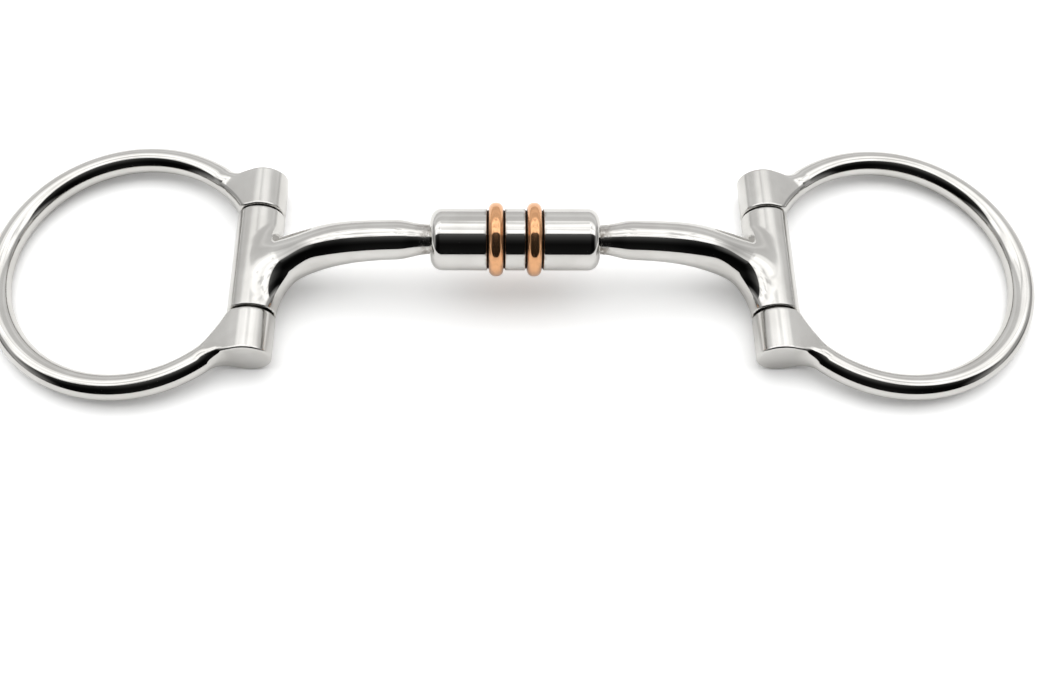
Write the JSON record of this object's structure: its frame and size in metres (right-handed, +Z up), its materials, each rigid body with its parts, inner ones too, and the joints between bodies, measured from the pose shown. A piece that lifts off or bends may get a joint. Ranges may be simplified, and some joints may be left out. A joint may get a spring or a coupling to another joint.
{
  "type": "snaffle bit",
  "caption": "Horse's snaffle bit: hinged round dee cheeks, bowed swivelling arms and a central barrel carrying copper rollers.",
  "frame": {"origin": "on the surface that the bit lies on, under the middle of the barrel", "axes": "+X along the mouthpiece towards the right cheek, +Y along the hinge axes away from the front, +Z up"},
  "size_m": [0.2866, 0.0788, 0.0294],
  "materials": {
    "stainless_steel": "mirror-polished stainless steel",
    "copper": "polished copper, turned",
    "plain_steel": "plain turned steel, hidden inside"
  },
  "bodies": {
    "barrel": {"barrel_sleeve": "plain_steel", "barrel_centre_band": "stainless_steel", "centre_stop": "plain_steel", "left_barrel_shell": "stainless_steel", "left_spindle_bush": "plain_steel", "left_thrust_washer": "plain_steel", "right_barrel_shell": "stainless_steel", "right_spindle_bush": "plain_steel", "right_thrust_washer": "plain_steel"},
    "left_arm": {"left_mouthpiece_arm": "stainless_steel", "left_retaining_collar": "plain_steel", "left_collar_pin": "plain_steel"},
    "left_dee": {"left_dee_ring": "stainless_steel", "left_hinge_pin": "plain_steel", "left_back_pin_plug": "stainless_steel", "left_front_pin_plug": "stainless_steel"},
    "left_roller": {"left_copper_roller": "copper"},
    "right_arm": {"right_mouthpiece_arm": "stainless_steel", "right_retaining_collar": "plain_steel", "right_collar_pin": "plain_steel"},
    "right_dee": {"right_dee_ring": "stainless_steel", "right_hinge_pin": "plain_steel", "right_back_pin_plug": "stainless_steel", "right_front_pin_plug": "stainless_steel"},
    "right_roller": {"right_copper_roller": "copper"}
  },
  "joints": [
    {"name": "left_arm_swivel", "type": "hinge", "parent": "barrel", "child": "left_arm", "pos_m": [-0.0222, 0, 0.0197], "axis": [1, 0, 0], "continuous": true},
    {"name": "left_cheek_hinge", "type": "hinge", "parent": "left_arm", "child": "left_dee", "pos_m": [-0.0699, 0, 0.0064], "axis": [0, 1, 0], "range_deg": [-155, 155]},
    {"name": "left_roller_spin", "type": "hinge", "parent": "barrel", "child": "left_roller", "pos_m": [-0.005, 0, 0.0197], "axis": [1, 0, 0], "continuous": true},
    {"name": "right_arm_swivel", "type": "hinge", "parent": "barrel", "child": "right_arm", "pos_m": [0.0222, 0, 0.0197], "axis": [1, 0, 0], "continuous": true},
    {"name": "right_cheek_hinge", "type": "hinge", "parent": "right_arm", "child": "right_dee", "pos_m": [0.0699, 0, 0.0064], "axis": [0, -1, 0], "range_deg": [-155, 155]},
    {"name": "right_roller_spin", "type": "hinge", "parent": "barrel", "child": "right_roller", "pos_m": [0.005, 0, 0.0197], "axis": [1, 0, 0], "continuous": true}
  ]
}
